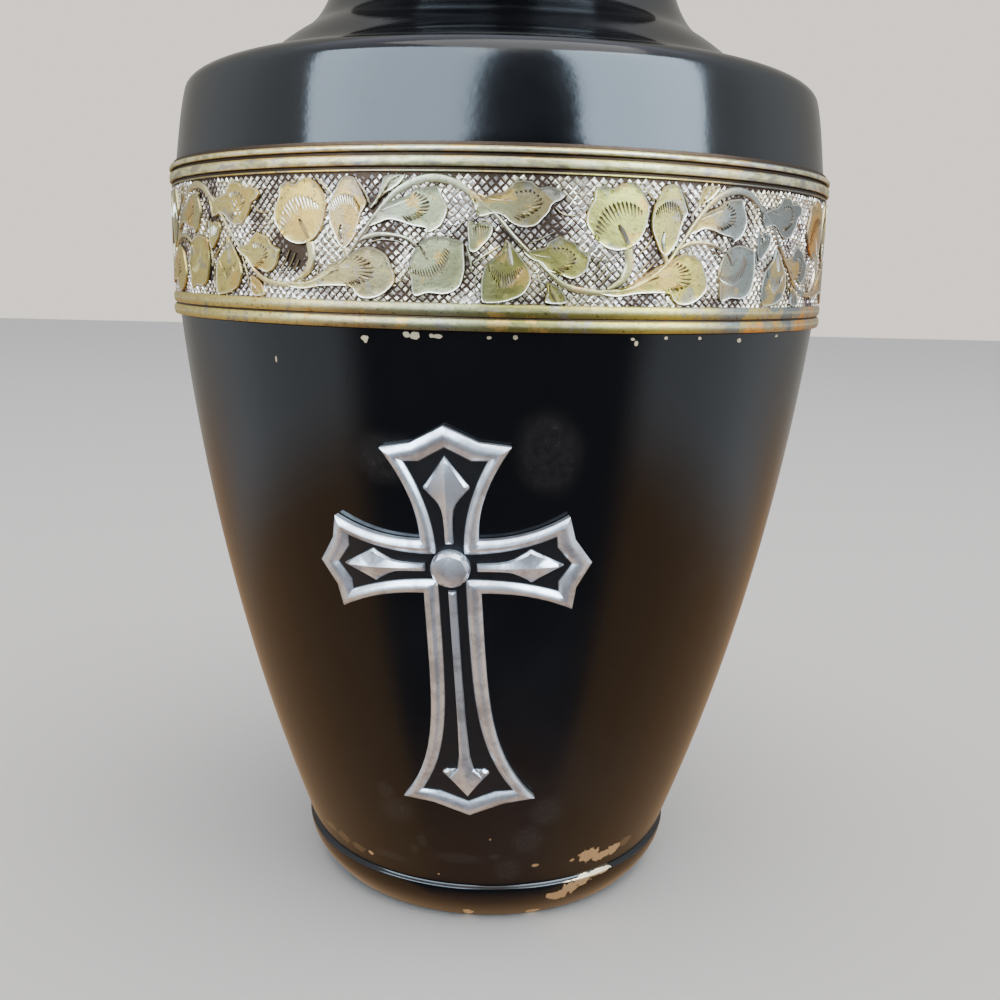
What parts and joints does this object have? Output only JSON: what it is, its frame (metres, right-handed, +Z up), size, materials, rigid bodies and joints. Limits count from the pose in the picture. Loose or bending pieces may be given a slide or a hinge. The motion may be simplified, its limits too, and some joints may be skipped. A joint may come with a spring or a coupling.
{
  "type": "cremation urn",
  "caption": "Round-shouldered cremation urn in black-lacquered brass, with an engraved foliage band, an applied gothic cross and a domed lid that lifts off.",
  "frame": {"origin": "centre of the foot's underside, where the urn stands", "axes": "+Z up along the axis of the vessel, -Y towards the front that carries the cross, +X to the viewer's right"},
  "size_m": [0.1674, 0.1674, 0.2755],
  "materials": {
    "black_lacquer": "semi-gloss black lacquer on brass, chipped to the metal in places",
    "engraved_brass": "hand-engraved brass, tarnished olive and orange, with bright cut edges",
    "silvered_metal": "polished silver plate with black-filled channels"
  },
  "bodies": {
    "root": {"body": "black_lacquer", "lid": "black_lacquer", "engraved_band": "engraved_brass", "cross": "silvered_metal"}
  },
  "joints": []
}
